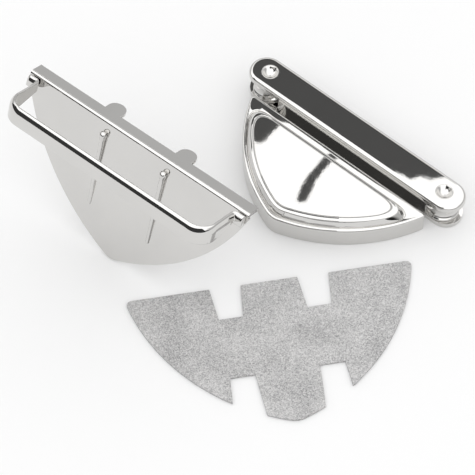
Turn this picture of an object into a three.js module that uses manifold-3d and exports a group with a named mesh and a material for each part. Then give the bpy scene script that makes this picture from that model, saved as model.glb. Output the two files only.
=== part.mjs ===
// Handbag tuck-lock clasp set: a catch, a tongue with its leather clamp, and a backing plate.
// Millimetres, +Z up. The three loose pieces lie on one surface, and +X runs along the clamp bar.
import * as THREE from "three";
import { mergeVertices } from "three/addons/utils/BufferGeometryUtils.js";
import Module from "manifold-3d";

const wasm = await Module();
wasm.setup();

// Gap between pieces that touch, and how far a cutter runs past the face it cuts.
const gap = 0.3;
const past = 1;

// Clamp bar: the upper jaw, its two spool studs and their screws.
const bar = { length: 60, width: 8.1, thickness: 1.8, edge: 0.6 };
const leatherSlot = 4.5;
const stud = { fromEnd: 5, flangeInset: 0.25, waist: 0.6, flare: 0.9, headRadius: 1.9, dish: 0.5 };
const clampScrew = { radius: 1.1, headRadius: 2, headHeight: 0.8, length: 4.8 };

// Catch: half-moon plate leaning back, with its folded flange, prongs and ribs.
const plate = { width: 60.6, depth: 32.9, sideRadius: 51, tipRadius: 4, corner: 0.6, sheet: 0.8 };
const flange = { depth: 2.6, foldRadius: 0.7 };
const prong = { width: 4.2, length: 3.5, spacing: 19.3, lowerLength: 4.5 };
const rib = { spacing: 16.4, top: 2.6, bottom: 22.5, headRadius: 0.8, headHeight: 1.4, tailRadius: 0.45 };

// Strap loop: a flat band standing off the plate, its arms on outward feet.
const strap = { fromSide: 2.9, band: 1.1, corner: 4.6, top: 0.5, height: 4.3, armHeight: 2.6, foot: 1.9 };

// Tongue: half-moon shell with a raised panel, and the base that also makes the lower jaw.
const tuckPlay = { width: 2.4, depth: 2.4 };
const base = { thickness: 1.2, rimInset: 0.2 };
const moon = { depth: 22.6, sideRadius: 38.6, tipRadius: 5, corner: 0.9 };
const shell = { height: 5.3, wall: 0.8, roof: 0.8, bevel: 0.9 };
const panel = { inset: 1, lower: 0.9, corner: 5.2, pocket: 0.5, step: 1.3, rise: 0.5, terrace: 1.5 };
const channel = 2.1;
const boss = { radius: 1.9, spacing: 20, fromEdge: 7.2 };
const baseScrew = { radius: 0.8, headRadius: 1.6, headHeight: 0.7, length: 2.8 };

// Backing plate: a half-moon like the catch's, a little larger, with play round each prong.
const backing = { width: 62.9, depth: 34.7, sideRadius: 46.5, tipRadius: 5, corner: 1.6, sheet: 0.5 };
const notch = { topPlay: 2, lowerPlay: 1.2, topTaper: 0.45, lowerTaper: 1, topDepth: 7.9, aboveLowerProng: 4.2 };

// Where the loose pieces lie, from the middle of the clamp bar.
const catchPlace = { x: -22.2, y: -46.1, turn: 2.3, lean: 20 };
const backingPlace = { x: 8.4, y: -39.2, turn: 50.9 };

const arcSegments = 7;
const roundSegments = 20;

const chrome = new THREE.MeshStandardMaterial({ color: 0xd6d4d0, roughness: 0.06, metalness: 1 });
const zinc = new THREE.MeshStandardMaterial({ color: 0xc8c6c6, roughness: 0.5, metalness: 0.8 });

function solidOf(geometry) {
  const positions = geometry.clone();
  positions.deleteAttribute("normal");
  positions.deleteAttribute("uv");
  const merged = mergeVertices(positions, 1e-4);
  const vertProperties = new Float32Array(merged.attributes.position.array);
  const triVerts = new Uint32Array(merged.index.array);
  return new wasm.Manifold(new wasm.Mesh({ numProp: 3, vertProperties, triVerts }));
}

function meshOf(name, solid, material) {
  const made = solid.getMesh();
  const geometry = new THREE.BufferGeometry();
  geometry.setAttribute("position", new THREE.BufferAttribute(made.vertProperties, 3));
  geometry.setIndex(new THREE.BufferAttribute(made.triVerts, 1));
  geometry.computeVertexNormals();
  const mesh = new THREE.Mesh(geometry, material.clone());
  mesh.name = name;
  return mesh;
}

// Corner points of a shape, anticlockwise, without the doubled ones where its curves meet.
function outlinePoints(shape) {
  const points = shape.getPoints(arcSegments);
  const apart = points.filter((point, i) => point.distanceTo(points[(i + 1) % points.length]) > 1e-4);
  return THREE.ShapeUtils.isClockWise(apart) ? apart.reverse() : apart;
}

// Closed solid through [shape, height] levels from the lowest up; the shapes have as many points each.
function stacked(levels) {
  const rings = levels.map(([shape]) => outlinePoints(shape));
  const count = rings[0].length;
  const positions = rings.flatMap((ring, level) => ring.flatMap(({ x, y }) => [x, y, levels[level][1]]));
  const index = [];
  for (let level = 0; level < rings.length - 1; level++) {
    for (let i = 0; i < count; i++) {
      const here = level * count + i;
      const next = level * count + ((i + 1) % count);
      index.push(here, next, next + count, here, next + count, here + count);
    }
  }
  const topLevel = (rings.length - 1) * count;
  for (const [i, j, k] of THREE.ShapeUtils.triangulateShape(rings[0], [])) {
    index.push(i, k, j, topLevel + i, topLevel + j, topLevel + k);
  }
  const geometry = new THREE.BufferGeometry();
  geometry.setAttribute("position", new THREE.Float32BufferAttribute(positions, 3));
  geometry.setIndex(index);
  return solidOf(geometry);
}

// Upright prism over a shape, from z = low up to z = high.
function prism(shape, low, high) {
  return stacked([
    [shape, low],
    [shape, high],
  ]);
}

// Upright prism with its top edge rounded, and its bottom edge too where roundBelow is given.
function rounded(shapeAt, low, high, round, roundBelow = 0) {
  const soft = (1 - Math.SQRT1_2) * round;
  const below = roundBelow > 0 ? [[shapeAt(roundBelow), low]] : [];
  return stacked([
    ...below,
    [shapeAt(0), low + roundBelow],
    [shapeAt(0), high - round],
    [shapeAt(soft), high - soft],
    [shapeAt(round), high],
  ]);
}

function box(x, y, z, lengthX, lengthY, lengthZ) {
  return solidOf(new THREE.BoxGeometry(lengthX, lengthY, lengthZ).translate(x, y, z));
}

// Solid turned about an upright axis at (x, y), from [radius, height] pairs that start and end on it.
function turned(profile, x = 0, y = 0) {
  const points = profile.map(([radius, height]) => new THREE.Vector2(radius, height));
  const geometry = new THREE.LatheGeometry(points, roundSegments);
  return solidOf(geometry.rotateX(Math.PI / 2).translate(x, y, 0));
}

// Arcs of a half-moon: straight edge on y = 0, bulging sides, round tip at y = -depth.
function halfMoonArcs({ width, depth, sideRadius, tipRadius }) {
  const corner = new THREE.Vector2(width / 2, 0);
  const tip = new THREE.Vector2(0, tipRadius - depth);
  const toTip = tip.clone().sub(corner);
  const reach = toTip.length();
  const inner = sideRadius - tipRadius;
  const along = (sideRadius ** 2 - inner ** 2 + reach ** 2) / (2 * reach);
  const across = Math.sqrt(sideRadius ** 2 - along ** 2);
  toTip.normalize();
  const side = corner.clone().addScaledVector(toTip, along);
  side.add(new THREE.Vector2(toTip.y, -toTip.x).multiplyScalar(across));
  return { side, sideRadius, tipRadius };
}

// The half-moon drawn inwards by inset, with its two corners rounded back by corner.
function halfMoon(outline, inset = 0, corner = outline.corner) {
  const { side, sideRadius, tipRadius } = halfMoonArcs(outline);
  const radius = sideRadius - inset;
  const top = -inset;
  const tipRound = Math.max(tipRadius - inset, corner);
  const cornerAngle = Math.asin((top - side.y) / radius);
  const halfTop = side.x + radius * Math.cos(cornerAngle);
  // Round tip tangent to both sides: its centre is on x = 0, at radius - tipRound from the side's centre.
  const tipY = side.y - Math.sqrt((radius - tipRound) ** 2 - side.x ** 2);
  const tipAngle = Math.atan2(tipY - side.y, -side.x);
  const startAngle = cornerAngle - corner / radius;
  const start = new THREE.Vector2(Math.cos(startAngle), Math.sin(startAngle));
  start.multiplyScalar(radius).add(side);
  const shape = new THREE.Shape();
  shape.moveTo(corner - halfTop, top);
  shape.lineTo(halfTop - corner, top);
  shape.quadraticCurveTo(halfTop, top, start.x, start.y);
  shape.absarc(side.x, side.y, radius, startAngle, tipAngle, true);
  shape.absarc(0, tipY, tipRound, tipAngle, -Math.PI - tipAngle, true);
  shape.absarc(-side.x, side.y, radius, -Math.PI - tipAngle, -Math.PI - startAngle, true);
  shape.quadraticCurveTo(-halfTop, top, corner - halfTop, top);
  return shape;
}

function stadium(length, width) {
  const radius = width / 2;
  const reach = length / 2 - radius;
  const shape = new THREE.Shape();
  shape.absarc(reach, 0, radius, -Math.PI / 2, Math.PI / 2, false);
  shape.absarc(-reach, 0, radius, Math.PI / 2, (3 * Math.PI) / 2, false);
  return shape;
}

// Where a half-moon's edge crosses a given x, on its lower side.
function edgeAt(outline, x) {
  const { side, sideRadius } = halfMoonArcs(outline);
  return side.y - Math.sqrt(sideRadius ** 2 - (Math.abs(x) - side.x) ** 2);
}

const sides = [
  ["left", -1],
  ["right", 1],
];

const strapHalfWidth = plate.width / 2 - strap.fromSide;
const tongueOutline = { ...moon, width: 2 * (strapHalfWidth - strap.band) - tuckPlay.width };
const panelTop = shell.height + panel.step + panel.rise;
const strapStandOff = panelTop + rib.headHeight + tuckPlay.depth + strap.band;

const tongueEdge = -(bar.width / 2 + channel);
const slotTop = base.thickness + leatherSlot;
const barTop = slotTop + bar.thickness;
const studX = bar.length / 2 - stud.fromEnd;
const studFlange = bar.width / 2 - stud.flangeInset;
const bossY = tongueEdge - boss.fromEdge;
const roofUnderside = shell.height - panel.pocket - shell.roof;

// Countersunk screw, head down, its face just above z = 0.
function countersunkScrew(name, screw, x, y) {
  const low = gap / 6;
  const profile = [
    [0, low],
    [screw.headRadius, low],
    [screw.headRadius, low + gap / 3],
    [screw.radius, screw.headHeight],
    [screw.radius, screw.length - screw.radius / 2],
    [screw.radius / 2, screw.length],
    [0, screw.length],
  ];
  return meshOf(name, turned(profile, x, y), chrome);
}

function countersunkHole(screw, x, y) {
  const profile = [
    [0, -past],
    [screw.headRadius + gap / 2, -past],
    [screw.headRadius + gap / 2, gap],
    [screw.radius + gap / 2, screw.headHeight + gap / 2],
    [screw.radius + gap / 2, base.thickness + past],
    [0, base.thickness + past],
  ];
  return turned(profile, x, y);
}

function cylinder(radius, low, high, x, y) {
  return turned([[0, low], [radius, low], [radius, high], [0, high]], x, y);
}

// Sheet that closes the shell from below and runs under the clamp bar as its lower jaw.
function tongueBase() {
  const inset = shell.wall + gap / 2;
  const jawOutline = stadium(bar.length - 2 * base.rimInset, bar.width - 2 * base.rimInset);
  const neckLength = channel + inset + bar.width / 2 + gap;
  const neckWidth = 2 * (studX - studFlange);
  let made = prism(halfMoon(tongueOutline, inset), 0, base.thickness)
    .translate([0, tongueEdge, 0])
    .add(prism(jawOutline, 0, base.thickness))
    .add(box(0, -neckLength / 2, base.thickness / 2, neckWidth, neckLength, base.thickness));
  for (const [, side] of sides) {
    made = made.subtract(countersunkHole(clampScrew, side * studX, 0));
    made = made.subtract(countersunkHole(baseScrew, (side * boss.spacing) / 2, bossY));
  }
  return meshOf("tongue_base", made, chrome);
}

function tongueShell() {
  const neckHole = 2 * (studX - studFlange) + gap;
  const neckHeight = base.thickness + gap / 2;
  let made = rounded((inset) => halfMoon(tongueOutline, inset), 0, shell.height, shell.bevel)
    .subtract(prism(halfMoon(tongueOutline, shell.wall), -past, roofUnderside))
    .subtract(prism(panelOutline(0), shell.height - panel.pocket, shell.height + past).translate([0, -panel.lower, 0]))
    .subtract(box(0, -shell.wall / 2, 0, neckHole, 3 * shell.wall, 2 * neckHeight))
    .translate([0, tongueEdge, 0]);
  for (const [, side] of sides) {
    const x = (side * boss.spacing) / 2;
    const boreRadius = baseScrew.radius + gap / 2;
    const boreTop = baseScrew.length + gap / 2;
    made = made.add(cylinder(boss.radius, neckHeight, roofUnderside + gap, x, bossY));
    made = made.subtract(cylinder(boreRadius, 0, boreTop, x, bossY));
  }
  return meshOf("tongue_shell", made, chrome);
}

// The panel's straight edge lies lower than an even border would put it; its tip doesn't.
function panelOutline(inset) {
  return halfMoon({ ...tongueOutline, depth: moon.depth - panel.lower }, panel.inset + inset, panel.corner);
}

// Plaque set in the shell's roof, rising in two steps.
function tonguePanel() {
  const low = shell.height - panel.pocket;
  const terrace = shell.height + panel.step;
  const made = rounded((inset) => panelOutline(gap / 2 + inset), low, terrace, gap / 2)
    .add(rounded((inset) => panelOutline(panel.terrace + inset), low + gap, panelTop, gap / 2))
    .translate([0, tongueEdge - panel.lower, gap / 3]);
  return meshOf("tongue_panel", made, chrome);
}

function clampCover() {
  const outlineAt = (inset) => stadium(bar.length - 2 * inset, bar.width - 2 * inset);
  let made = rounded(outlineAt, slotTop, barTop, bar.edge, bar.edge / 2);
  for (const [, side] of sides) {
    const radius = stud.headRadius + gap / 2;
    made = made.subtract(cylinder(radius, slotTop - past, barTop + past, side * studX, 0));
  }
  return meshOf("clamp_cover", made, chrome);
}

// Spool between the jaws, its head riveted through the cover and dished on top.
function clampStud(name, x) {
  const low = base.thickness + gap / 2;
  const high = slotTop - gap / 2;
  const waistRadius = studFlange - stud.waist;
  const boreRadius = clampScrew.radius + gap / 2;
  const boreTop = clampScrew.length + gap;
  const profile = [
    [0, boreTop],
    [boreRadius, boreTop],
    [boreRadius, low],
    [studFlange, low],
    [waistRadius, low + stud.flare],
    [waistRadius, high - stud.flare],
    [studFlange, high],
    [stud.headRadius, high],
    [stud.headRadius, barTop],
    [stud.headRadius / 2, barTop - stud.dish * 0.8],
    [0, barTop - stud.dish],
  ];
  return meshOf(name, turned(profile, x, 0), chrome);
}

// The catch is drawn flat: x along the fold, y up the front face, z out of the front face.
// A section in (z, y), run along x to both sides of the middle.
function alongFold(section, halfLength) {
  return prism(section, -halfLength, halfLength).rotate([0, -90, 0]);
}

const foldDepth = flange.depth + plate.sheet;

// Round-ended tab running back from the plate's back face, its upper side at height y.
function backwardTab(x, y, length) {
  const radius = prong.width / 2;
  const tab = new THREE.Shape();
  tab.moveTo(-radius, 0);
  tab.lineTo(radius, 0);
  tab.absarc(0, length - radius, radius, 0, Math.PI, false);
  tab.closePath();
  return prism(tab, -plate.sheet, 0)
    .rotate([-90, 0, 0])
    .translate([x, y, -plate.sheet]);
}

// Embossed bead: a round head near the fold, sinking into the face towards the tip.
function embossedRib(x) {
  const length = rib.bottom - rib.top - rib.headRadius;
  const drop = rib.headHeight - rib.headRadius + rib.tailRadius;
  const headArc = [];
  const headSteps = 4;
  for (let step = 0; step <= headSteps; step++) {
    const angle = (step / headSteps - 1) * (Math.PI / 2);
    headArc.push([rib.headRadius * Math.cos(angle), rib.headRadius * Math.sin(angle)]);
  }
  headArc[0][0] = 0;
  const neckRadius = 0.75 * rib.headRadius;
  const profile = [...headArc, [neckRadius, 1.3 * rib.headRadius], [rib.tailRadius, length], [0, length]];
  const tilt = THREE.MathUtils.radToDeg(Math.atan2(drop, length));
  return turned(profile)
    .rotate([90 + tilt, 0, 0])
    .translate([x, -rib.top - rib.headRadius, rib.headHeight - rib.headRadius]);
}

function catchPlate() {
  const halfWidth = plate.width / 2 - plate.corner;
  const bend = flange.foldRadius + plate.sheet;
  const fold = new THREE.Shape();
  fold.moveTo(-foldDepth, -plate.sheet);
  fold.lineTo(-plate.sheet, -plate.sheet);
  fold.lineTo(-plate.sheet, -bend);
  fold.lineTo(0, -bend);
  fold.absarc(-flange.foldRadius, -flange.foldRadius, flange.foldRadius, 0, Math.PI / 2, false);
  fold.lineTo(-foldDepth, 0);
  fold.closePath();
  let made = prism(halfMoon(plate), -plate.sheet, 0)
    .subtract(box(0, 0, 0, plate.width + past, 2 * (bend - gap), 2 * bend))
    .add(alongFold(fold, halfWidth));
  const lowerY = edgeAt(plate, (prong.spacing + prong.width) / 2) + plate.sheet;
  for (const [, side] of sides) {
    const x = (side * prong.spacing) / 2;
    made = made.add(backwardTab(x, 0, flange.depth + prong.length));
    made = made.add(backwardTab(x, lowerY, prong.lowerLength + gap).translate([0, 0, gap]));
    made = made.add(embossedRib((side * rib.spacing) / 2));
  }
  return meshOf("catch_plate", made, chrome);
}

function loopStrap() {
  const outer = strapHalfWidth;
  const inner = outer - strap.band;
  const front = strapStandOff;
  const back = front - strap.band;
  const round = strap.corner;
  const footTop = gap + strap.band;
  const band = new THREE.Shape();
  band.moveTo(outer + strap.foot, gap);
  band.lineTo(outer + strap.foot, footTop);
  band.lineTo(outer, footTop);
  band.absarc(outer - round, front - round, round, 0, Math.PI / 2, false);
  band.absarc(round - outer, front - round, round, Math.PI / 2, Math.PI, false);
  band.lineTo(-outer, footTop);
  band.lineTo(-outer - strap.foot, footTop);
  band.lineTo(-outer - strap.foot, gap);
  band.lineTo(-inner, gap);
  band.absarc(round - outer, front - round, round - strap.band, Math.PI, Math.PI / 2, true);
  band.lineTo(outer - round, back);
  band.absarc(outer - round, front - round, round - strap.band, Math.PI / 2, 0, true);
  band.lineTo(inner, gap);
  band.closePath();
  const lowFront = -strap.top - strap.height;
  const lowArm = -strap.top - strap.armHeight;
  const underArms = new THREE.Shape();
  underArms.moveTo(-past, lowArm);
  underArms.lineTo(footTop, lowArm);
  underArms.lineTo(front - round, lowFront);
  underArms.lineTo(front - round, lowFront - past);
  underArms.lineTo(-past, lowFront - past);
  underArms.closePath();
  // The band's outline lies in (x, z), and its height runs down from the strap's top edge.
  const made = prism(band, 0, strap.height)
    .rotate([90, 0, 0])
    .translate([0, -strap.top, 0])
    .subtract(alongFold(underArms, plate.width));
  return meshOf("loop_strap", made, chrome);
}

// Notch cutter: half-widths at two heights, the second one deeper into the sheet or past its edge.
function notchPrism(x, fromY, toY, fromHalf, toHalf) {
  const cut = new THREE.Shape();
  cut.moveTo(x - fromHalf, fromY);
  cut.lineTo(x - toHalf, toY);
  cut.lineTo(x + toHalf, toY);
  cut.lineTo(x + fromHalf, fromY);
  cut.closePath();
  return prism(cut, -past, backing.sheet + past);
}

function backingPlate() {
  const lowerProngY = edgeAt(plate, (prong.spacing + prong.width) / 2);
  const topHalf = (prong.width + notch.topPlay) / 2;
  const lowerHalf = (prong.width + notch.lowerPlay) / 2;
  const lowerTop = lowerProngY + notch.aboveLowerProng;
  let made = prism(halfMoon(backing), 0, backing.sheet);
  for (const [, side] of sides) {
    const x = (side * prong.spacing) / 2;
    made = made
      .subtract(notchPrism(x, past, -notch.topDepth, topHalf + notch.topTaper, topHalf - notch.topTaper))
      .subtract(notchPrism(x, -backing.depth - past, lowerTop, lowerHalf + notch.lowerTaper, lowerHalf));
  }
  return meshOf("backing_plate", made, zinc);
}

// Raises a turned group until its lowest point is on z = 0.
function dropOnto(turnedGroup) {
  turnedGroup.updateMatrixWorld(true);
  turnedGroup.position.z -= new THREE.Box3().setFromObject(turnedGroup, true).min.z;
}

const tongueGroup = new THREE.Group();
tongueGroup.add(tongueShell(), tonguePanel(), tongueBase(), clampCover());
for (const [word, side] of sides) {
  tongueGroup.add(clampStud("clamp_stud_" + word, side * studX));
  tongueGroup.add(countersunkScrew("clamp_screw_" + word, clampScrew, side * studX, 0));
  tongueGroup.add(countersunkScrew("base_screw_" + word, baseScrew, (side * boss.spacing) / 2, bossY));
}

// The catch stands on its tip: the fold is up, the front face leans back and looks towards -y.
const catchGroup = new THREE.Group();
catchGroup.add(catchPlate(), loopStrap());
const lean = THREE.MathUtils.degToRad(catchPlace.lean);
catchGroup.rotation.set(Math.PI / 2 - lean, 0, THREE.MathUtils.degToRad(catchPlace.turn), "ZYX");
catchGroup.position.set(catchPlace.x, catchPlace.y, 0);
dropOnto(catchGroup);

const backingGroup = new THREE.Group();
backingGroup.add(backingPlate());
backingGroup.rotation.z = THREE.MathUtils.degToRad(backingPlace.turn);
backingGroup.position.set(backingPlace.x, backingPlace.y, 0);

// The part's origin is the middle of its bounding box, on the surface it lies on.
const group = new THREE.Group();
group.add(tongueGroup, catchGroup, backingGroup);
const middle = new THREE.Box3().setFromObject(group, true).getCenter(new THREE.Vector3());
group.position.set(-middle.x, -middle.y, 0);

export default group;
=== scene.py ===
"""Looks of the handbag tuck-lock clasp set: every CAD node gets a finer chrome or zinc mesh.

Shapes are drawn in millimetres, each in its own group's frame as in the CAD source, then placed in the row
frame in metres. The tongue's frame has the clamp bar's middle at its origin, the catch is drawn flat with
x along its fold, and the backing plate has its straight edge on y = 0.
"""

import math
import random
from types import SimpleNamespace as Sizes

import bmesh
import bpy
from mathutils import Matrix, Vector


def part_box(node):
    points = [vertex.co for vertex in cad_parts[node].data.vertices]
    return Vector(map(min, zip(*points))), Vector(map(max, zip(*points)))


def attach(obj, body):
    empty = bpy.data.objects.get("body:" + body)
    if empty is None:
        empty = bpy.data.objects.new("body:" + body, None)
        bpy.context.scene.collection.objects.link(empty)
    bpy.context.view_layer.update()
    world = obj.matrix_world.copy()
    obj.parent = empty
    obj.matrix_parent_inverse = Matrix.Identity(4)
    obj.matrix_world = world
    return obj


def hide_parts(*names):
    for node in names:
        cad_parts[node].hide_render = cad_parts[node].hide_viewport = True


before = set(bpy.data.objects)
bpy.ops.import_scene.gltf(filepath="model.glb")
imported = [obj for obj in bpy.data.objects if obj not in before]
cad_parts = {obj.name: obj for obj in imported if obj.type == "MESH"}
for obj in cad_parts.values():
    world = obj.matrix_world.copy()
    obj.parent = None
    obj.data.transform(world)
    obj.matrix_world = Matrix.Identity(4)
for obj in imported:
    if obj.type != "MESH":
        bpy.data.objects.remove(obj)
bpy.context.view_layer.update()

MM = 0.001
GAP = 0.3

# Clamp bar, its spool studs and their screws.
bar = Sizes(length=60, width=8.1, thickness=1.8, edge=0.95, lower_edge=0.3)
leather_slot = 4.5
stud = Sizes(from_end=5, flange_inset=0.25, waist=0.75, head_radius=1.9, dish=1.25)
clamp_screw = Sizes(radius=1.1, head_radius=2, head_height=0.8, length=4.8)

# Catch: half-moon plate with its fold, prongs and ribs.
plate = Sizes(width=60.6, depth=32.9, side_radius=51, tip_radius=4, corner=0.6, sheet=0.8)
flange = Sizes(depth=2.6, fold_radius=0.7)
prong = Sizes(width=4.2, length=3.5, spacing=19.3, lower_length=4.5)
rib = Sizes(spacing=16.4, top=2.6, bottom=22.5, head_radius=0.8, head_height=1.4, tail_radius=0.45)

# Strap loop that stands off the catch plate.
strap = Sizes(from_side=2.9, band=1.1, corner=4.6, top=0.5, height=4.3, arm_height=2.6, foot=1.9)

# Tongue: half-moon shell, its stepped panel and its base.
base = Sizes(thickness=1.2, rim_inset=0.2)
moon = Sizes(depth=22.6, side_radius=38.6, tip_radius=5, corner=0.9)
shell = Sizes(height=5.3, wall=0.8, roof=0.8, bevel=0.45)
panel = Sizes(inset=1, lower=0.9, corner=5.2, pocket=0.5, step=1.3, rise=0.5, terrace=1.5)
channel = 2.1
tuck_play = Sizes(width=2.4, depth=2.4)
boss = Sizes(radius=1.9, spacing=20, from_edge=7.2)
base_screw = Sizes(radius=0.8, head_radius=1.6, head_height=0.7, length=2.8)

# Backing plate.
backing = Sizes(width=62.9, depth=34.7, side_radius=46.5, tip_radius=5, corner=1.6, sheet=0.5)
notch = Sizes(top_play=2, lower_play=1.2, top_taper=0.45, lower_taper=1, top_depth=7.9, above_lower_prong=4.2)

# Where the loose pieces lie, from the middle of the clamp bar.
catch_place = Sizes(x=-22.2, y=-46.1, turn=2.3, lean=20)
backing_place = Sizes(x=8.4, y=-39.2, turn=50.9)

strap_half_width = plate.width / 2 - strap.from_side
moon.width = 2 * (strap_half_width - strap.band) - tuck_play.width
panel_top = shell.height + panel.step + panel.rise
strap_stand_off = panel_top + rib.head_height + tuck_play.depth + strap.band
tongue_edge = -(bar.width / 2 + channel)
slot_top = base.thickness + leather_slot
bar_top = slot_top + bar.thickness
stud_x = bar.length / 2 - stud.from_end
stud_flange = bar.width / 2 - stud.flange_inset
boss_y = tongue_edge - boss.from_edge
roof_underside = shell.height - panel.pocket - shell.roof


# ---------------------------------------------------------------- meshes

def mesh_piece(name, points, faces):
    mesh = bpy.data.meshes.new(name)
    mesh.from_pydata(points, [], faces)
    made = bmesh.new()
    made.from_mesh(mesh)
    bmesh.ops.recalc_face_normals(made, faces=made.faces)
    made.to_mesh(mesh)
    made.free()
    obj = bpy.data.objects.new(name, mesh)
    bpy.context.scene.collection.objects.link(obj)
    return obj


def lofted(name, rings):
    """Closed mesh through rings of as many points each, with a flat face at both ends."""
    count = len(rings[0])
    last = (len(rings) - 1) * count
    faces = [tuple(reversed(range(count)))]
    for low in range(0, last, count):
        for i in range(count):
            j = (i + 1) % count
            faces.append((low + i, low + j, low + j + count, low + i + count))
    faces.append(tuple(range(last, last + count)))
    return mesh_piece(name, [point for ring in rings for point in ring], faces)


def outlined(name, outline_at, levels):
    """Loft of outline_at(inset) through [(inset, height), ...]."""
    return lofted(name, [[(x, y, height) for x, y in outline_at(inset)] for inset, height in levels])


def turned(name, profile, x=0, y=0, segments=96):
    """Solid turned about an upright axis at (x, y), from (radius, height) pairs that start and end on it."""
    points = [(x, y, profile[0][1])]
    for radius, height in profile[1:-1]:
        for i in range(segments):
            angle = 2 * math.pi * i / segments
            points.append((x + radius * math.cos(angle), y + radius * math.sin(angle), height))
    end = len(points)
    points.append((x, y, profile[-1][1]))
    faces = []
    for i in range(segments):
        j = (i + 1) % segments
        faces.append((0, 1 + j, 1 + i))
        for low in range(1, end - segments, segments):
            faces.append((low + i, low + j, low + j + segments, low + i + segments))
        faces.append((end - segments + i, end - segments + j, end))
    return mesh_piece(name, points, faces)


def upright(name, outline, low, high):
    return lofted(name, [[(x, y, low) for x, y in outline], [(x, y, high) for x, y in outline]])


def block(name, low, high):
    outline = [(low[0], low[1]), (high[0], low[1]), (high[0], high[1]), (low[0], high[1])]
    return upright(name, outline, low[2], high[2])


def bake(obj):
    """Applies the modifiers to the mesh."""
    bpy.context.view_layer.update()
    evaluated = obj.evaluated_get(bpy.context.evaluated_depsgraph_get())
    mesh = bpy.data.meshes.new_from_object(evaluated)
    obj.modifiers.clear()
    obj.data = mesh


def combine(obj, others, operation):
    for other in others:
        modifier = obj.modifiers.new("combine", "BOOLEAN")
        modifier.operation = operation
        modifier.solver = "EXACT"
        modifier.object = other
    bake(obj)
    for other in others:
        bpy.data.objects.remove(other)


def softened(obj, width, steps=3):
    """Joins faces that lie in one plane, then rounds every sharp edge."""
    flat = math.radians(0.2)
    made = bmesh.new()
    made.from_mesh(obj.data)
    bmesh.ops.remove_doubles(made, verts=made.verts, dist=1e-4)
    bmesh.ops.dissolve_limit(made, angle_limit=flat, verts=made.verts, edges=made.edges)
    made.to_mesh(obj.data)
    made.free()
    bevel = obj.modifiers.new("edges", "BEVEL")
    bevel.width = width
    bevel.segments = steps
    bevel.limit_method = "ANGLE"
    bevel.angle_limit = math.radians(32)
    bevel.use_clamp_overlap = True
    bake(obj)


def finished(obj, placement, material, body, slot, *nodes):
    """Places a piece in the row frame, shades it smooth and stands it in for its CAD nodes."""
    obj.data.transform(placement @ Matrix.Scale(MM, 4))
    obj.data.polygons.foreach_set("use_smooth", [True] * len(obj.data.polygons))
    obj.data.materials.clear()
    obj.data.materials.append(material)
    obj.modifiers.new("normals", "WEIGHTED_NORMAL")
    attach(obj, body)
    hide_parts(*nodes)
    return obj


# ---------------------------------------------------------------- outlines and profiles

def arc(centre, radius, start, end, steps):
    """Points on an arc, both ends included; angles in radians."""
    found = []
    for i in range(steps + 1):
        angle = start + (end - start) * i / steps
        found.append((centre[0] + radius * math.cos(angle), centre[1] + radius * math.sin(angle)))
    return found


def curve(start, control, end, steps):
    """Points on a quadratic curve, without its ends."""
    found = []
    for i in range(1, steps):
        t = i / steps
        weights = ((1 - t) ** 2, 2 * t * (1 - t), t * t)
        found.append(tuple(sum(w * p[k] for w, p in zip(weights, (start, control, end))) for k in (0, 1)))
    return found


def line(start, end, steps):
    """Points on a straight line, both ends included."""
    return [tuple(a + (b - a) * i / steps for a, b in zip(start, end)) for i in range(steps + 1)]


def quarter(low, high, inset, round_low, round_high, steps=6):
    """(inset, height) levels of an upright wall with a quarter round at its foot and at its top."""
    levels = []
    for i in range(steps + 1):
        angle = math.pi / 2 * i / steps
        levels.append((inset + round_low * (1 - math.sin(angle)), low + round_low * (1 - math.cos(angle))))
    for i in range(steps + 1):
        angle = math.pi / 2 * i / steps
        levels.append((inset + round_high * (1 - math.cos(angle)), high - round_high * (1 - math.sin(angle))))
    return levels


def moon_arcs(outline):
    corner = Vector((outline.width / 2, 0))
    to_tip = Vector((0, outline.tip_radius - outline.depth)) - corner
    reach = to_tip.length
    inner = outline.side_radius - outline.tip_radius
    along = (outline.side_radius ** 2 - inner ** 2 + reach ** 2) / (2 * reach)
    across = math.sqrt(outline.side_radius ** 2 - along ** 2)
    to_tip.normalize()
    return corner + to_tip * along + Vector((to_tip.y, -to_tip.x)) * across


def half_moon(outline, inset=0.0, corner=None):
    """The half-moon drawn inwards by inset: straight edge on top, bulging sides, round tip below."""
    corner = outline.corner if corner is None else corner
    side = moon_arcs(outline)
    radius = outline.side_radius - inset
    top = -inset
    tip_round = max(outline.tip_radius - inset, corner)
    corner_angle = math.asin((top - side.y) / radius)
    half_top = side.x + radius * math.cos(corner_angle)
    tip_y = side.y - math.sqrt((radius - tip_round) ** 2 - side.x ** 2)
    tip_angle = math.atan2(tip_y - side.y, -side.x)
    start_angle = corner_angle - corner / radius
    right = arc(side, radius, start_angle, tip_angle, 44)
    tip = arc((0, tip_y), tip_round, tip_angle, -math.pi - tip_angle, 16)
    edge = line((corner - half_top, top), (half_top - corner, top), 24)
    left = [(-x, y) for x, y in reversed(right)]
    turn = curve(edge[-1], (half_top, top), right[0], 8)
    back = [(-x, y) for x, y in reversed(turn)]
    found = edge + turn + right + tip[1:-1] + left + back
    return list(reversed(found))


def stadium(length, width, steps=40):
    radius = width / 2
    reach = length / 2 - radius
    right = arc((reach, 0), radius, -math.pi / 2, math.pi / 2, steps)
    left = arc((-reach, 0), radius, math.pi / 2, 3 * math.pi / 2, steps)
    return line((-reach, -radius), (reach, -radius), 12)[1:-1] + right + \
        line((reach, radius), (-reach, radius), 12)[1:-1] + left


def edge_at(outline, x):
    """Where the half-moon's lower edge crosses a given x."""
    side = moon_arcs(outline)
    return side.y - math.sqrt(outline.side_radius ** 2 - (abs(x) - side.x) ** 2)


# ---------------------------------------------------------------- materials

def node(tree, kind, **inputs):
    made = tree.nodes.new(kind)
    for name, value in inputs.items():
        socket = made.inputs[name.replace("_", " ")]
        if isinstance(value, bpy.types.NodeSocket):
            tree.links.new(value, socket)
        else:
            socket.default_value = value
    return made


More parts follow.
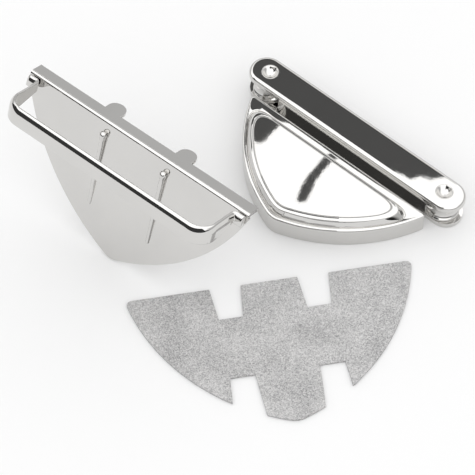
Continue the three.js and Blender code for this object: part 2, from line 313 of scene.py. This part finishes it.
def ramp(tree, value, *stops):
    """A colour ramp through (position, grey) stops."""
    made = node(tree, "ShaderNodeValToRGB", Fac=value)
    elements = made.color_ramp.elements
    while len(elements) < len(stops):
        elements.new(0.5)
    for element, (position, grey) in zip(elements, stops):
        element.position = position
        element.color = (*grey, 1) if isinstance(grey, tuple) else (grey, grey, grey, 1)
    return made.outputs["Color"]


def metal(name, tone, tone_far, shine, shine_far, wave, grain, grain_size):
    """Polished or satin metal: slow waves and fine grain in its surface, and handling marks in its gloss."""
    material = bpy.data.materials.new(name)
    material.use_nodes = True
    tree = material.node_tree
    tree.nodes.clear()
    place = node(tree, "ShaderNodeTexCoord").outputs["Object"]
    clouds = node(tree, "ShaderNodeTexNoise", Vector=place, Scale=90.0, Detail=4.0)
    marks = node(tree, "ShaderNodeTexNoise", Vector=place, Scale=900.0, Detail=6.0, Roughness=0.6)
    waves = node(tree, "ShaderNodeTexNoise", Vector=place, Scale=160.0, Detail=1.0)
    grains = node(tree, "ShaderNodeTexNoise", Vector=place, Scale=1 / grain_size, Detail=3.0)
    colour = ramp(tree, clouds.outputs["Fac"], (0.35, tone), (0.65, tone_far))
    gloss = ramp(tree, marks.outputs["Fac"], (0.3, shine), (0.75, shine_far))
    slow = node(tree, "ShaderNodeBump", Height=waves.outputs["Fac"], Distance=wave)
    slow.inputs["Strength"].default_value = 1.0
    fine = node(tree, "ShaderNodeBump", Height=grains.outputs["Fac"], Distance=grain)
    tree.links.new(slow.outputs["Normal"], fine.inputs["Normal"])
    shader = node(tree, "ShaderNodeBsdfPrincipled", Base_Color=colour, Roughness=gloss, Metallic=1.0)
    tree.links.new(fine.outputs["Normal"], shader.inputs["Normal"])
    output = node(tree, "ShaderNodeOutputMaterial")
    tree.links.new(shader.outputs["BSDF"], output.inputs["Surface"])
    return material


def galvanised(name):
    """Matte zinc sheet with the fine light and dark mottling of its crystals."""
    material = bpy.data.materials.new(name)
    material.use_nodes = True
    tree = material.node_tree
    tree.nodes.clear()
    place = node(tree, "ShaderNodeTexCoord").outputs["Object"]
    flakes = node(tree, "ShaderNodeTexVoronoi", Vector=place, Scale=5200.0, Randomness=1.0)
    fine = node(tree, "ShaderNodeTexNoise", Vector=place, Scale=5000.0, Detail=3.0, Roughness=0.6)
    broad = node(tree, "ShaderNodeTexNoise", Vector=place, Scale=110.0, Detail=3.0)
    speckle = node(tree, "ShaderNodeMix")
    speckle.data_type = "FLOAT"
    speckle.inputs["Factor"].default_value = 0.45
    tree.links.new(fine.outputs["Fac"], speckle.inputs["A"])
    tree.links.new(flakes.outputs["Color"], speckle.inputs["B"])
    mottle = node(tree, "ShaderNodeMix")
    mottle.data_type = "FLOAT"
    mottle.inputs["Factor"].default_value = 0.25
    tree.links.new(speckle.outputs["Result"], mottle.inputs["A"])
    tree.links.new(broad.outputs["Fac"], mottle.inputs["B"])
    tone = ramp(tree, mottle.outputs["Result"], (0.34, (0.27, 0.27, 0.27)), (0.5, (0.45, 0.445, 0.445)),
                (0.64, (0.60, 0.595, 0.59)))
    rough = ramp(tree, mottle.outputs["Result"], (0.3, 0.62), (0.7, 0.42))
    relief = node(tree, "ShaderNodeBump", Height=mottle.outputs["Result"], Distance=0.00003)
    relief.inputs["Strength"].default_value = 0.6
    shader = node(tree, "ShaderNodeBsdfPrincipled", Base_Color=tone, Roughness=rough, Metallic=0.55)
    tree.links.new(relief.outputs["Normal"], shader.inputs["Normal"])
    output = node(tree, "ShaderNodeOutputMaterial")
    tree.links.new(shader.outputs["BSDF"], output.inputs["Surface"])
    return material


chrome = metal("chrome_plate", (0.645, 0.637, 0.622), (0.665, 0.657, 0.642), 0.012, 0.03,
               wave=0.0000025, grain=0.0000006, grain_size=0.0004)
nickel = metal("nickel_screw", (0.62, 0.60, 0.57), (0.68, 0.66, 0.63), 0.16, 0.30,
               wave=0.00001, grain=0.000004, grain_size=0.0002)
zinc = galvanised("zinc_sheet")


# ---------------------------------------------------------------- where the groups lie

bar_low, bar_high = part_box("clamp_cover")
bar_middle = (bar_low + bar_high) / 2
tongue_at = Matrix.Translation((bar_middle.x, bar_middle.y, 0))

tilt = math.radians(90 - catch_place.lean)
catch_height = plate.depth * math.sin(tilt) + plate.sheet * math.cos(tilt)
catch_at = (
    Matrix.Translation((bar_middle.x + catch_place.x * MM, bar_middle.y + catch_place.y * MM,
                        catch_height * MM))
    @ Matrix.Rotation(math.radians(catch_place.turn), 4, "Z")
    @ Matrix.Rotation(tilt, 4, "X")
)
backing_at = (
    Matrix.Translation((bar_middle.x + backing_place.x * MM, bar_middle.y + backing_place.y * MM, 0))
    @ Matrix.Rotation(math.radians(backing_place.turn), 4, "Z")
)
sides = (("left", -1), ("right", 1))


# ---------------------------------------------------------------- tongue and clamp

def panel_outline(inset):
    """The panel's straight edge lies lower than an even border would put it; its tip doesn't."""
    lowered = Sizes(**{**vars(moon), "depth": moon.depth - panel.lower})
    return [(x, y - panel.lower) for x, y in half_moon(lowered, panel.inset + inset, panel.corner)]


def tongue_shell():
    """One wall all round: inner roof, inside, rim, outside, rounded edge, frame, panel's pocket."""
    rim = 0.15
    skin = []
    for inset, height in [(shell.wall, roof_underside), (shell.wall, rim)]:
        skin.append((half_moon(moon, inset), height))
    for inset, height in [(shell.wall - rim, 0), *quarter(0, shell.height, 0, rim, shell.bevel)]:
        skin.append((half_moon(moon, inset), height))
    lip = 0.12
    for inset, height in [(-lip, shell.height), (-lip / 3, shell.height - lip / 3), (0, shell.height - lip)]:
        skin.append((panel_outline(inset), height))
    skin.append((panel_outline(0), shell.height - panel.pocket))
    made = lofted("tongue_body", [[(x, y + tongue_edge, height) for x, y in ring] for ring, height in skin])
    neck_half = stud_x - stud_flange + GAP / 2
    neck_height = base.thickness + GAP / 2
    cut = block("neck_cut", (-neck_half, tongue_edge - 1.5 * shell.wall, -1),
                (neck_half, tongue_edge + shell.wall, neck_height))
    combine(made, [cut], "DIFFERENCE")
    posts, bores = [], []
    for word, side in sides:
        x = side * boss.spacing / 2
        low, high = neck_height, roof_underside + GAP
        posts.append(turned("post", [(0, low), (boss.radius - 0.2, low), (boss.radius, low + 0.2),
                                     (boss.radius, high), (0, high)], x, boss_y, 48))
        bore = base_screw.radius + GAP / 2
        top = base_screw.length + GAP / 2
        bores.append(turned("bore", [(0, 0), (bore, 0), (bore, top), (0, top + 0.3)], x, boss_y, 48))
    combine(made, posts, "UNION")
    combine(made, bores, "DIFFERENCE")
    return made


def tongue_panel():
    """Plaque in the frame's pocket: a terrace with a rounded brow, then the raised face."""
    low = shell.height - panel.pocket + GAP / 3
    terrace = shell.height + panel.step + GAP / 3
    top = panel_top + GAP / 3
    slope = 0.62
    levels = quarter(low, shell.height, GAP / 2, 0.05, 0)[:8]
    levels += quarter(shell.height, terrace, GAP / 2 + slope, 0, 0.3)[7:]
    cove = 0.14
    levels += [(panel.terrace - cove, terrace), (panel.terrace - cove / 3, terrace + cove / 3)]
    levels += quarter(terrace + cove, top, panel.terrace + 0.16, 0, 0.18)[7:]
    made = outlined("tongue_plaque", panel_outline, levels)
    made.data.transform(Matrix.Translation((0, tongue_edge, 0)))
    return made


def countersink(screw, x, y):
    play = GAP / 2
    profile = [(0, -1), (screw.head_radius + play, -1), (screw.head_radius + play, GAP),
               (screw.radius + play, screw.head_height + play), (screw.radius + play, base.thickness + 1),
               (0, base.thickness + 1)]
    return turned("hole", profile, x, y, 64)


def tongue_base():
    inset = shell.wall + GAP / 2
    neck_half = stud_x - stud_flange
    jaw = stadium(bar.length - 2 * base.rim_inset, bar.width - 2 * base.rim_inset)
    floor = [(x, y + tongue_edge) for x, y in half_moon(moon, inset)]
    made = upright("tongue_floor", floor, 0, base.thickness)
    others = [upright("jaw", jaw, 0, base.thickness)]
    others.append(block("neck", (-neck_half, tongue_edge - inset - GAP, 0), (neck_half, 0, base.thickness)))
    combine(made, others, "UNION")
    holes = [countersink(clamp_screw, side * stud_x, 0) for word, side in sides]
    holes += [countersink(base_screw, side * boss.spacing / 2, boss_y) for word, side in sides]
    combine(made, holes, "DIFFERENCE")
    softened(made, 0.16)
    return made


def clamp_cover():
    levels = quarter(slot_top, bar_top, 0, bar.lower_edge, bar.edge, 8)
    made = outlined("clamp_jaw", lambda inset: stadium(bar.length - 2 * inset, bar.width - 2 * inset), levels)
    radius = stud.head_radius + 0.03
    holes = []
    for word, side in sides:
        profile = [(0, slot_top - 1), (radius, slot_top - 1), (radius, bar_top - 0.08),
                   (radius + 0.07, bar_top), (radius + 0.07, bar_top + 1),
                   (0, bar_top + 1)]
        holes.append(turned("hole", profile, side * stud_x, 0, 72))
    combine(made, holes, "DIFFERENCE")
    return made


def clamp_stud(name, x):
    """Spool with a hollow waist, riveted over into a dished head."""
    low = base.thickness + GAP / 2
    high = slot_top - GAP / 2
    bore = clamp_screw.radius + GAP / 2
    rim = 0.28
    profile = [(0, clamp_screw.length + GAP), (bore, clamp_screw.length + GAP), (bore, low + 0.15),
               (bore + 0.15, low), (stud_flange - 0.12, low), (stud_flange, low + 0.12)]
    steps = 24
    for i in range(steps + 1):
        t = 2 * i / steps - 1
        radius = stud_flange - stud.waist * (1 - abs(t) ** 2.6)
        profile.append((radius, low + rim + (high - low - 2 * rim) * (i / steps)))
    profile += [(stud_flange, high - 0.12), (stud_flange - 0.12, high), (stud.head_radius - 0.1, high)]
    profile += [(stud.head_radius, high + 0.1), (stud.head_radius, bar_top - 0.06)]
    brow = stud.head_radius - 0.12
    profile += [(stud.head_radius - 0.05, bar_top), (brow, bar_top - 0.03)]
    for i in range(1, 11):
        share = 1 - i / 10
        profile.append((brow * share, bar_top - 0.03 - stud.dish * (1 - share ** 2)))
    return turned(name, profile, x, 0)


def countersunk_screw(name, screw, x, y):
    """Head down, with a cross recess and a ridged shank."""
    low = GAP / 6
    profile = [(0, low), (screw.head_radius - 0.08, low), (screw.head_radius, low + 0.06),
               (screw.head_radius, low + GAP / 3), (screw.radius, screw.head_height)]
    pitch = 0.45 if screw is clamp_screw else 0.35
    height = screw.head_height + pitch / 2
    while height < screw.length - screw.radius:
        profile += [(screw.radius * 0.84, height), (screw.radius, height + pitch / 2)]
        height += pitch
    profile += [(screw.radius * 0.84, screw.length - screw.radius * 0.6),
                (screw.radius / 2, screw.length - 0.05),
                (screw.radius / 3, screw.length), (0, screw.length)]
    made = turned(name, profile, x, y, 48)
    deep = low + 0.75 * screw.head_height
    long, thin = 0.62 * screw.head_radius, 0.15 * screw.head_radius
    for half_x, half_y in ((long, thin), (thin, long)):
        wide = [(x - half_x, y - half_y), (x + half_x, y - half_y),
                (x + half_x, y + half_y), (x - half_x, y + half_y)]
        near = [(x + (px - x) * 0.45, y + (py - y) * 0.45) for px, py in wide]
        cut = lofted("recess", [[(px, py, low - 0.5) for px, py in wide], [(px, py, low) for px, py in wide],
                                [(px, py, deep) for px, py in near]])
        combine(made, [cut], "DIFFERENCE")
    return made


# ---------------------------------------------------------------- catch

def backward_tab(x, y, start, length):
    radius = prong.width / 2
    outline = [(-radius, 0), (radius, 0)] + arc((0, length - radius), radius, 0, math.pi, 24)
    made = upright("tab", outline, -plate.sheet, 0)
    made.data.transform(Matrix.Translation((x, y, start)) @ Matrix.Rotation(-math.pi / 2, 4, "X"))
    return made


def embossed_rib(x, grow=1.0, sink=0.0):
    """Bead with a round head near the fold, its back sinking into the face towards the tip."""
    head = rib.head_radius * grow
    length = rib.bottom - rib.top - rib.head_radius
    drop = rib.head_height - rib.head_radius + 0.05
    profile = [(0, -head)]
    for i in range(1, 11):
        angle = (i / 10 - 1) * math.pi / 2
        profile.append((head * math.cos(angle), head * math.sin(angle)))
    for along, share in ((0.5, 0.97), (0.95, 0.87), (1.5, 0.75), (2.3, 0.70), (4, 0.68), (12, 0.62)):
        profile.append((head * share, along * rib.head_radius))
    tail = rib.tail_radius * grow
    profile += [(tail, length), (0.87 * tail, length + 0.5 * tail), (0.5 * tail, length + 0.87 * tail),
                (0, length + tail)]
    made = turned("bead", profile, segments=40)
    lean = Matrix.Rotation(math.pi / 2 + math.atan2(drop, length), 4, "X")
    centre = (x, -rib.top - rib.head_radius, rib.head_height - rib.head_radius - sink)
    made.data.transform(Matrix.Translation(centre) @ lean)
    return made


def along_fold(name, section, half_length):
    """A section in (z, y), run along x to both sides of the middle."""
    rings = [[(x, y, z) for z, y in section] for x in (-half_length, half_length)]
    return lofted(name, rings)


def catch_plate():
    bend = flange.fold_radius + plate.sheet
    fold_depth = flange.depth + plate.sheet
    inner = 0.25
    section = arc((-flange.fold_radius, -flange.fold_radius), flange.fold_radius, 0, math.pi / 2, 12)
    section += [(-fold_depth, 0), (-fold_depth, -plate.sheet)]
    section += arc((-plate.sheet - inner, -plate.sheet - inner), inner, math.pi / 2, 0, 6)
    section += [(-plate.sheet, -bend), (0, -bend)]
    made = along_fold("catch_front", section, plate.width / 2 - plate.corner)
    face = [(x, y) for x, y in half_moon(plate) if y < -bend]
    reach = max(x for x, y in face)
    top = max(y for x, y in face)
    overlap = 0.2
    face = [point for point in face if point[1] < top - 1e-6 or abs(point[0]) > reach - 1e-6]
    outline = sorted((p for p in face if p[0] < 0), key=lambda p: -p[1])
    outline += sorted((p for p in face if p[0] >= 0), key=lambda p: p[1])
    outline += [(reach, overlap - bend), (-reach, overlap - bend)]
    parts = [upright("face", outline, -plate.sheet, 0)]
    lower_y = edge_at(plate, (prong.spacing + prong.width) / 2) + plate.sheet
    grooves = []
    for word, side in sides:
        x = side * prong.spacing / 2
        parts.append(backward_tab(x, 0, -plate.sheet, flange.depth + prong.length))
        parts.append(backward_tab(x, lower_y, GAP - plate.sheet, prong.lower_length + GAP))
        parts.append(embossed_rib(side * rib.spacing / 2))
        grooves.append(embossed_rib(side * rib.spacing / 2, 0.6, plate.sheet))
    combine(made, parts, "UNION")
    combine(made, grooves, "DIFFERENCE")
    softened(made, 0.13)
    return made


def strap_section(height):
    """Closed section in (out, down): out of the loop and down from its top edge, which is round outside."""
    half = strap.band / 2
    brow_deep, brow_tall, small = 0.86, 1.9, 0.22
    brow_tall = min(brow_tall, 0.6 * height)
    section = []
    for i in range(13):
        angle = math.pi / 2 * i / 12
        section.append((half - brow_deep * (1 - math.sin(angle)), brow_tall * (1 - math.cos(angle))))
    for centre, start in (((half - small, height - small), 0), ((small - half, height - small), 1),
                          ((small - half, small), 2)):
        for i in range(5):
            angle = math.pi / 2 * (start + i / 4)
            section.append((centre[0] + small * math.cos(angle), centre[1] + small * math.sin(angle)))
    return section


def loop_strap():
    """Flat band swept from foot to foot: foot, arm, corner, front, corner, arm, foot."""
    half = strap.band / 2
    side = strap_half_width - half
    foot_z = GAP + half
    front_z = strap_stand_off - half
    foot_x = strap_half_width + strap.foot
    foot_round = half + 0.2
    corner = strap.corner - half
    path = line((foot_x, foot_z), (side + foot_round, foot_z), 4)
    path += arc((side + foot_round, foot_z + foot_round), foot_round, -math.pi / 2, -math.pi, 8)[1:]
    path += line(path[-1], (side, front_z - corner), 6)[1:]
    path += arc((side - corner, front_z - corner), corner, 0, math.pi / 2, 24)[1:]
    path += line(path[-1], (0, front_z), 10)[1:]
    path += [(-x, z) for x, z in reversed(path[:-1])]
    arm_low = GAP + strap.band
    rings = []
    for i, (x, z) in enumerate(path):
        before = path[max(i - 1, 0)]
        after = path[min(i + 1, len(path) - 1)]
        run = Vector((after[0] - before[0], after[1] - before[1])).normalized()
        share = min(max((z - arm_low) / (strap_stand_off - strap.corner - arm_low), 0), 1)
        height = strap.arm_height + (strap.height - strap.arm_height) * share
        ring = [(x + out * run.y, -strap.top - down, z - out * run.x) for out, down in strap_section(height)]
        rings.append(ring)
    return lofted("strap_band", rings)


# ---------------------------------------------------------------- backing plate

def notch_cut(x, from_y, to_y, from_half, to_half):
    outline = [(x - from_half, from_y), (x + from_half, from_y), (x + to_half, to_y), (x - to_half, to_y)]
    return upright("notch", outline, -1, backing.sheet + 1)


def backing_sheet():
    lower_y = edge_at(plate, (prong.spacing + prong.width) / 2)
    top_half = (prong.width + notch.top_play) / 2
    lower_half = (prong.width + notch.lower_play) / 2
    made = upright("backing_sheet", half_moon(backing), 0, backing.sheet)
    cuts = []
    for word, side in sides:
        x = side * prong.spacing / 2
        cuts.append(notch_cut(x, 1, -notch.top_depth, top_half + notch.top_taper, top_half - notch.top_taper))
        cuts.append(notch_cut(x, -backing.depth - 1, lower_y + notch.above_lower_prong,
                              lower_half + notch.lower_taper, lower_half))
    combine(made, cuts, "DIFFERENCE")
    softened(made, 0.07, 2)
    return made


finished(tongue_shell(), tongue_at, chrome, "tongue", "chrome", "tongue_shell")
finished(tongue_panel(), tongue_at, chrome, "tongue", "chrome", "tongue_panel")
finished(tongue_base(), tongue_at, chrome, "tongue", "chrome", "tongue_base")
finished(clamp_cover(), tongue_at, chrome, "clamp_bar", "chrome", "clamp_cover")
for word, side in sides:
    spool = clamp_stud("clamp_spool_" + word, side * stud_x)
    finished(spool, tongue_at, chrome, "clamp_bar", "chrome", "clamp_stud_" + word)
    long_screw = countersunk_screw("long_screw_" + word, clamp_screw, side * stud_x, 0)
    finished(long_screw, tongue_at, nickel, "screw_" + word, "screw_steel", "clamp_screw_" + word)
    short_screw = countersunk_screw("short_screw_" + word, base_screw, side * boss.spacing / 2, boss_y)
    finished(short_screw, tongue_at, nickel, "tongue", "screw_steel", "base_screw_" + word)
finished(catch_plate(), catch_at, chrome, "catch", "chrome", "catch_plate")
finished(loop_strap(), catch_at, chrome, "catch", "chrome", "loop_strap")
finished(backing_sheet(), backing_at, zinc, "backing", "zinc_sheet", "backing_plate")


# ---------------------------------------------------------------- camera

elevation, azimuth, distance = math.radians(56.32), math.radians(41.09), 505.33 * MM
look_at = Vector((bar_middle.x - 4.32 * MM, bar_middle.y - 34.95 * MM, 0))
towards = Vector((math.sin(azimuth) * math.cos(elevation), -math.cos(azimuth) * math.cos(elevation),
                  math.sin(elevation)))
camera_data = bpy.data.cameras.new("camera")
camera_data.sensor_width = 36
camera_data.lens = 175
camera_data.clip_start = 0.01
camera_data.clip_end = 20
camera = bpy.data.objects.new("camera", camera_data)
bpy.context.scene.collection.objects.link(camera)
camera.location = look_at + towards * distance
camera.rotation_mode = "QUATERNION"
camera.rotation_quaternion = (-towards).to_track_quat("-Z", "Y")
bpy.context.scene.camera = camera
bpy.context.scene.view_settings.view_transform = "Standard"


# ---------------------------------------------------------------- floor, sky and reflector cards

def glow(name, colour, strength):
    material = bpy.data.materials.new(name)
    material.use_nodes = True
    tree = material.node_tree
    tree.nodes.clear()
    shader = node(tree, "ShaderNodeEmission", Color=(*colour, 1), Strength=strength)
    output = node(tree, "ShaderNodeOutputMaterial")
    tree.links.new(shader.outputs["Emission"], output.inputs["Surface"])
    return material


def reflections_only(card):
    """Stages a card so that only reflections see it."""
    card.visible_camera = False
    card.visible_diffuse = False
    card.visible_shadow = False
    card.visible_transmission = False
    card.visible_volume_scatter = False
    return card


def reflector(name, outline, height, material):
    """A flat card overhead that only reflections see."""
    card = mesh_piece(name, [(x, y, height) for x, y in outline], [tuple(range(len(outline)))])
    card.data.materials.append(material)
    return reflections_only(card)


def ragged(outline, amount, seed, rounds=5):
    """The outline with each side broken up at random."""
    chance = random.Random(seed)
    found = [Vector(point) for point in outline]
    for step in range(rounds):
        broken = []
        for here, after in zip(found, found[1:] + found[:1]):
            run = after - here
            push = chance.uniform(-1, 1) * amount * min(run.length, 12)
            middle = (here + after) / 2
            if run.length > 0.25:
                middle += Vector((-run.y, run.x)).normalized() * push
            broken += [here, middle]
        found = broken
    return [tuple(point) for point in found]


def overhead(outline, mirror_height, card_height):
    """Where a card at card_height goes so that it shows as this outline, drawn in the tongue's frame in
    millimetres, in a level mirror at mirror_height."""
    eye = Vector((camera.location.x, camera.location.y, 2 * mirror_height - camera.location.z))
    found = []
    for x, y in outline:
        point = Vector((bar_middle.x + x * MM, bar_middle.y + y * MM, mirror_height))
        reach = (card_height - eye.z) / (mirror_height - eye.z)
        hit = eye + (point - eye) * reach
        found.append((hit.x, hit.y))
    return found


floor_data = bpy.data.materials.new("paper")
floor_data.use_nodes = True
floor_tree = floor_data.node_tree
floor_shader = floor_tree.nodes["Principled BSDF"]
floor_shader.inputs["Base Color"].default_value = (0.93, 0.93, 0.93, 1)
floor_shader.inputs["Roughness"].default_value = 0.9
floor_shader.inputs["Specular IOR Level"].default_value = 0
floor = mesh_piece("floor", [(-3, -3, -0.00005), (3, -3, -0.00005), (3, 3, -0.00005), (-3, 3, -0.00005)],
                   [(0, 1, 2, 3)])
floor.data.materials.append(floor_data)

world = bpy.data.worlds.new("studio")
world.use_nodes = True
bpy.context.scene.world = world
sky = world.node_tree
sky.nodes.clear()
ray = node(sky, "ShaderNodeSeparateXYZ", Vector=node(sky, "ShaderNodeTexCoord").outputs["Generated"])


def math_node(operation, *values):
    made = sky.nodes.new("ShaderNodeMath")
    made.operation = operation
    for socket, value in zip(made.inputs, values):
        if isinstance(value, bpy.types.NodeSocket):
            sky.links.new(value, socket)
        else:
            socket.default_value = value
    return made.outputs["Value"]


def along(x, y):
    """How far a ray heads towards (x, y) in plan."""
    return math_node("ADD", math_node("MULTIPLY", ray.outputs["X"], x),
                     math_node("MULTIPLY", ray.outputs["Y"], y))


# What metal reflects, from straight down (0) through the horizon (0.5) to straight up (1): towards the front
# a dark band stands on the horizon, and towards the rear a grey one.
up = math_node("ADD", math_node("MULTIPLY", ray.outputs["Z"], 0.5), 0.5)
front = ramp(sky, up,
             (0.0, 0.95), (0.48, 0.95), (0.495, 0.02), (0.56, 0.03), (0.62, 0.9), (0.68, 1.7), (1.0, 1.7))
rear = ramp(sky, up,
            (0.0, 0.95), (0.49, 0.9), (0.50, 0.62), (0.70, 0.62), (0.78, 1.5), (1.0, 1.7))
facing = ramp(sky, math_node("ADD", math_node("MULTIPLY", along(0.1, -1.0), 0.5), 0.5),
              (0.42, 0.0), (0.58, 1.0))
reflected = node(sky, "ShaderNodeMix")
reflected.data_type = "RGBA"
sky.links.new(facing, reflected.inputs[0])
sky.links.new(rear, reflected.inputs[6])
sky.links.new(front, reflected.inputs[7])
path = node(sky, "ShaderNodeLightPath")
glossy = node(sky, "ShaderNodeBackground", Color=reflected.outputs[2], Strength=1.0)
plain = node(sky, "ShaderNodeBackground", Color=(1.0, 1.0, 1.0, 1), Strength=1.075)
either = node(sky, "ShaderNodeMixShader", Fac=path.outputs["Is Glossy Ray"])
sky.links.new(plain.outputs["Background"], either.inputs[1])
sky.links.new(glossy.outputs["Background"], either.inputs[2])
world_output = node(sky, "ShaderNodeOutputWorld")
sky.links.new(either.outputs["Shader"], world_output.inputs["Surface"])

# Two dark reflections on the tongue: where each lies in the tongue's frame, read from the photo and rounded.
# Painted dark reflections: a dim glowing grey on cards that only reflections see, set so that their
# reflections fall on these outlines.
dark = glow("painted_dark_reflection", (1.0, 1.0, 1.0), 0.105)
CARD_HEIGHT = 0.25
MIRROR_HEIGHT = 0.0065
bar_shade = [(24.5, 12), (25.5, 4.6), (23, 3.2), (21, 0.3), (18.6, -0.4), (17.4, -2.6), (14.2, -3.1),
             (11, -5.6), (-14, -5.9), (-13.6, -11), (-13.3, -15), (-14.5, -17), (-19, -17.4),
             (-17, -21), (-14, -26), (-60, -60), (-70, 20), (-40, 40), (20, 40)]
bar_card = overhead(ragged(bar_shade, 0.10, 3), MIRROR_HEIGHT, CARD_HEIGHT)
reflector("shade_over_bar", bar_card, CARD_HEIGHT, dark)
band_shade = [(-2.4, -8.2), (-0.6, -8.6), (1.3, -9.3), (1.5, -12.9), (1.9, -16.3), (3.9, -21.6), (3.0, -23),
              (2.1, -22.9), (1.3, -20.8), (0.1, -17.2), (-0.5, -13), (-0.7, -10)]
band_card = overhead(ragged(band_shade, 0.05, 5, 3), MIRROR_HEIGHT, CARD_HEIGHT)
reflector("shade_over_panel", band_card, CARD_HEIGHT, dark)


# Painted dark reflection on the strap's upper edge: a dim glowing band round the front of the catch that only
# reflections see.
STRAP_REFLECTOR_RADIUS = 0.075
STRAP_REFLECTOR_START, STRAP_REFLECTOR_END = math.radians(185), math.radians(350)
low_z, high_z = 0.031, 0.085
catch_middle = catch_at @ Vector((0, 0, 0)) - Vector((0, 0.01, 0))
reflector_arc = arc((catch_middle.x, catch_middle.y), STRAP_REFLECTOR_RADIUS, STRAP_REFLECTOR_START, STRAP_REFLECTOR_END, 40)
strap_reflector = mesh_piece("strap_reflector", [(x, y, z) for z in (low_z, high_z) for x, y in reflector_arc],
                     [(i, i + 1, i + 1 + len(reflector_arc), i + len(reflector_arc)) for i in range(len(reflector_arc) - 1)])
strap_reflector.data.materials.append(glow("painted_strap_reflection", (1.0, 1.0, 1.0), 0.05))
reflections_only(strap_reflector)
